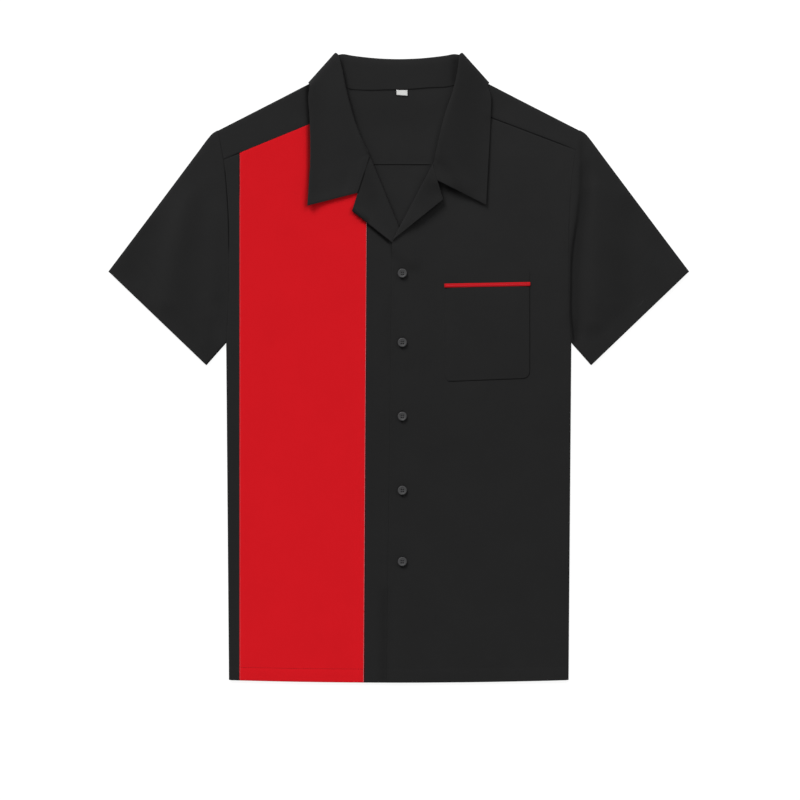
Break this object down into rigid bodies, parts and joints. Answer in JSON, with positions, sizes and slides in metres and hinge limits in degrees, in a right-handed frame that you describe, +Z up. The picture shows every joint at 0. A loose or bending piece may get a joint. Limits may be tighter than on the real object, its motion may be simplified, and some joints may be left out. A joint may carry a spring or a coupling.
{
  "type": "bowling shirt",
  "caption": "Short-sleeved button-front shirt with camp collar, contrast front panel and piped chest pocket, laid flat.",
  "frame": {"origin": "on the surface that the shirt lies on, under the middle of its outline", "axes": "+Y from the hem to the collar, +X to the wearer's left, which is the pocket's side, +Z up out of the shirt's front"},
  "size_m": [0.7548, 0.8183, 0.0114],
  "materials": {
    "black_cloth": "matt plain-weave cotton, washed black",
    "red_cloth": "matt plain-weave cotton, bright red",
    "pale_tape": "smooth woven tape, off-white",
    "grey_button": "satin dark grey"
  },
  "bodies": {
    "root": {"back_body": "black_cloth", "yoke": "black_cloth", "side_strip": "black_cloth", "red_panel": "red_cloth", "placket_right": "black_cloth", "front_left": "black_cloth", "sleeve_right": "black_cloth", "sleeve_left": "black_cloth", "collar": "black_cloth", "pocket": "black_cloth", "pocket_piping": "red_cloth", "size_tab": "pale_tape", "button_1": "grey_button", "button_2": "grey_button", "button_3": "grey_button", "button_4": "grey_button", "button_5": "grey_button"}
  },
  "joints": []
}
